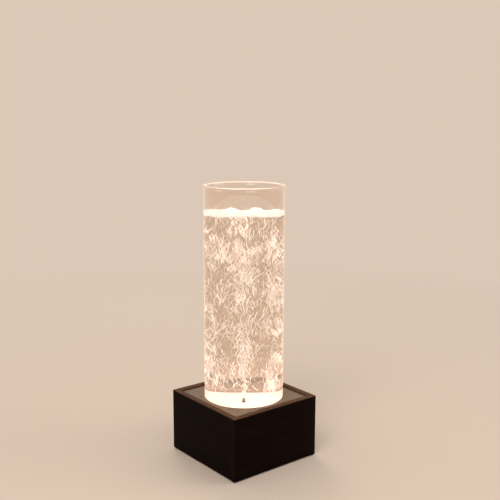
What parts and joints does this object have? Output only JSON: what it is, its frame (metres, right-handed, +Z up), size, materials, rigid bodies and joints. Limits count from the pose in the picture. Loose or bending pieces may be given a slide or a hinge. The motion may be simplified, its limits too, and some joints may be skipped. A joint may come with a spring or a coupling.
{
  "type": "bubble tube lamp",
  "caption": "Open clear tube of water with rising bubbles, lit from below, standing in a square dark plinth that holds the air pump, the light and the controls.",
  "frame": {"origin": "centre of the footprint on the floor, under the axis of the tube", "axes": "+Z up along the tube, +Y to the rear, where the controls are, +X to the right as seen from the front"},
  "size_m": [0.196, 0.196, 0.52],
  "materials": {
    "dark_veneer": "satin",
    "pine": "matte",
    "plywood": "matte",
    "fibreboard": "matte",
    "pale_deck": "gloss",
    "silicone": "satin",
    "black_rubber": "matte",
    "zinc_steel": "satin",
    "clear_acrylic": "gloss",
    "opal_acrylic": "satin",
    "grey_plastic": "matte",
    "water": "gloss",
    "froth": "satin",
    "bubble_air": "gloss",
    "clear_plastic": "gloss",
    "nickel_brass": "satin",
    "aluminium_plate": "satin",
    "white_board": "satin",
    "led_lens": "gloss",
    "pump_plastic": "matte",
    "core_steel": "satin",
    "copper_coil": "satin",
    "white_plastic": "satin",
    "magnet": "matte",
    "plate_aluminium": "satin",
    "brass": "satin",
    "black_plastic": "satin",
    "red_plastic": "gloss",
    "chromed_metal": "polished",
    "green_board": "satin",
    "lead_plastic": "satin"
  },
  "bodies": {
    "lamp": {"front_board": "dark_veneer", "right_board": "dark_veneer", "rear_board": "dark_veneer", "left_board": "dark_veneer", "lower_posts": "pine", "upper_posts": "pine", "deck": "pale_deck", "deck_seal": "silicone", "shelf": "plywood", "bottom_panel": "fibreboard", "feet": "black_rubber", "foot_screws": "zinc_steel", "panel_screws": "zinc_steel", "tube": "clear_acrylic", "tube_floor": "opal_acrylic", "tube_socket": "grey_plastic", "tube_gasket": "black_rubber", "socket_screws": "zinc_steel", "water": "water", "bubbles": "bubble_air", "froth": "froth", "air_manifold": "clear_plastic", "air_jets": "nickel_brass", "air_stem": "nickel_brass", "check_valve": "clear_plastic", "pump_hose": "silicone", "valve_hose": "silicone", "stem_hose": "silicone", "led_plate": "aluminium_plate", "led_board": "white_board", "leds": "led_lens", "pump_tray": "pump_plastic", "pump_cover": "pump_plastic", "pump_mounts": "black_rubber", "pump_core": "core_steel", "pump_coil": "copper_coil", "arm_pin": "zinc_steel", "diaphragm": "black_rubber", "valve_head": "white_plastic", "control_plate": "plate_aluminium", "plate_screws": "zinc_steel", "flow_valve": "brass", "valve_nut": "zinc_steel", "rocker_body": "black_plastic", "button_body": "chromed_metal", "button_nut": "zinc_steel", "button_spring": "zinc_steel", "power_socket": "black_plastic", "socket_pin": "zinc_steel", "socket_nut": "zinc_steel", "controller_board": "green_board", "board_parts": "black_plastic", "leads": "lead_plastic"},
    "pump_arm": {"pump_arm": "white_plastic", "arm_magnet": "magnet"},
    "air_knob": {"flow_knob": "black_plastic", "valve_spindle": "zinc_steel"},
    "rocker": {"power_rocker": "red_plastic"},
    "light_button": {"mode_button": "white_plastic"}
  },
  "joints": [
    {"name": "arm_swing", "type": "hinge", "parent": "lamp", "child": "pump_arm", "pos_m": [-0.056, -0.038, 0.035], "axis": [0, 1, 0], "range_deg": [-2, 2], "stiffness_Nm_per_rad": 4, "deforming": ["diaphragm"]},
    {"name": "knob_turn", "type": "hinge", "parent": "lamp", "child": "air_knob", "pos_m": [0, 0.088, 0.05], "axis": [0, 1, 0], "range_deg": [-135, 135]},
    {"name": "rocker_tilt", "type": "hinge", "parent": "lamp", "child": "rocker", "pos_m": [0.025, 0.0866, 0.05], "axis": [1, 0, 0], "range_deg": [0, 22]},
    {"name": "button_push", "type": "slide", "parent": "lamp", "child": "light_button", "axis": [0, -1, 0], "range_m": [0, 0.0015], "stiffness_N_per_m": 400, "springref_m": -0.002, "deforming": ["button_spring"]}
  ]
}
